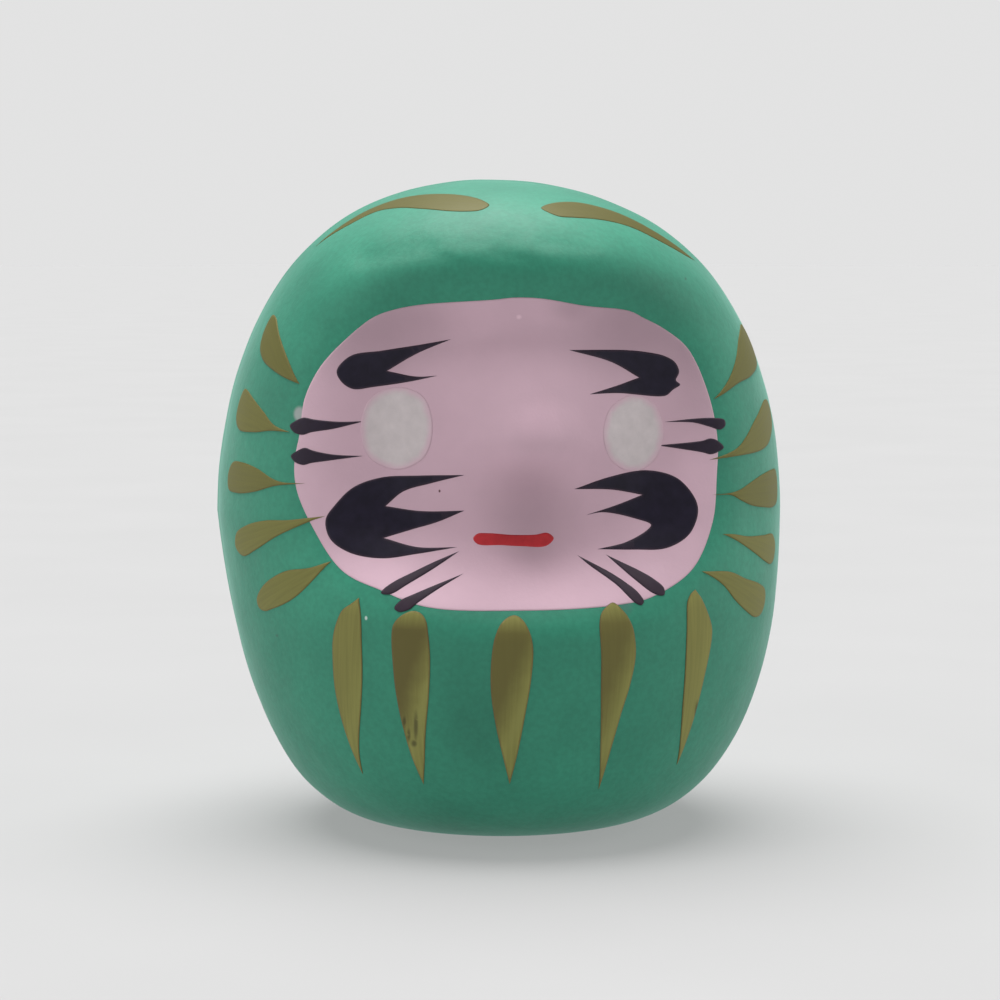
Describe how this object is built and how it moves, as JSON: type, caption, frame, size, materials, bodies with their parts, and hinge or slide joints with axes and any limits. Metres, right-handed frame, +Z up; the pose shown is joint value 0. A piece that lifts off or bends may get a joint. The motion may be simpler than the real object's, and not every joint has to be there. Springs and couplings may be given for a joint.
{
  "type": "daruma doll",
  "caption": "Small hollow papier-mache daruma: rounded shell in two glued halves, clay weight in the foot, sunken face and brush-painted marks.",
  "frame": {"origin": "middle of the underside, on the surface that the doll stands on", "axes": "+Z up, -Y toward the front, where the face is, +X toward the doll's left"},
  "size_m": [0.0564, 0.054, 0.0637],
  "materials": {
    "green_pulp": "matt poster paint on paper pulp, faint lumps and brush marks",
    "pink_paint": "matt pale pink paint",
    "eye_white": "thin mottled off-white paint",
    "black_ink": "black ink with a slight sheen",
    "red_paint": "matt red paint",
    "gold_paint": "dull gold paint, streaked along the stroke",
    "clay": "unfired clay, dull",
    "hide_glue": "dried hide glue",
    "base_paper": "plain uncoated paper"
  },
  "bodies": {
    "root": {"front_shell": "green_pulp", "back_shell": "green_pulp", "seam_strip": "green_pulp", "clay_weight": "clay", "weight_glue": "hide_glue", "base_paper": "base_paper", "face_field": "pink_paint", "eye_right": "eye_white", "eye_left": "eye_white", "eyebrow_right": "black_ink", "eyebrow_left": "black_ink", "cheek_beard_right": "black_ink", "cheek_beard_left": "black_ink", "temple_whisker_right_1": "black_ink", "temple_whisker_right_2": "black_ink", "temple_whisker_left_1": "black_ink", "temple_whisker_left_2": "black_ink", "chin_whisker_right_1": "black_ink", "chin_whisker_right_2": "black_ink", "chin_whisker_left_1": "black_ink", "chin_whisker_left_2": "black_ink", "mouth": "red_paint", "gold_crown_right": "gold_paint", "gold_crown_left": "gold_paint", "gold_side_right_1": "gold_paint", "gold_side_right_2": "gold_paint", "gold_side_right_3": "gold_paint", "gold_side_right_4": "gold_paint", "gold_side_right_5": "gold_paint", "gold_side_left_1": "gold_paint", "gold_side_left_2": "gold_paint", "gold_side_left_3": "gold_paint", "gold_side_left_4": "gold_paint", "gold_side_left_5": "gold_paint", "gold_belly_1": "gold_paint", "gold_belly_2": "gold_paint", "gold_belly_3": "gold_paint", "gold_belly_4": "gold_paint", "gold_belly_5": "gold_paint"}
  },
  "joints": []
}
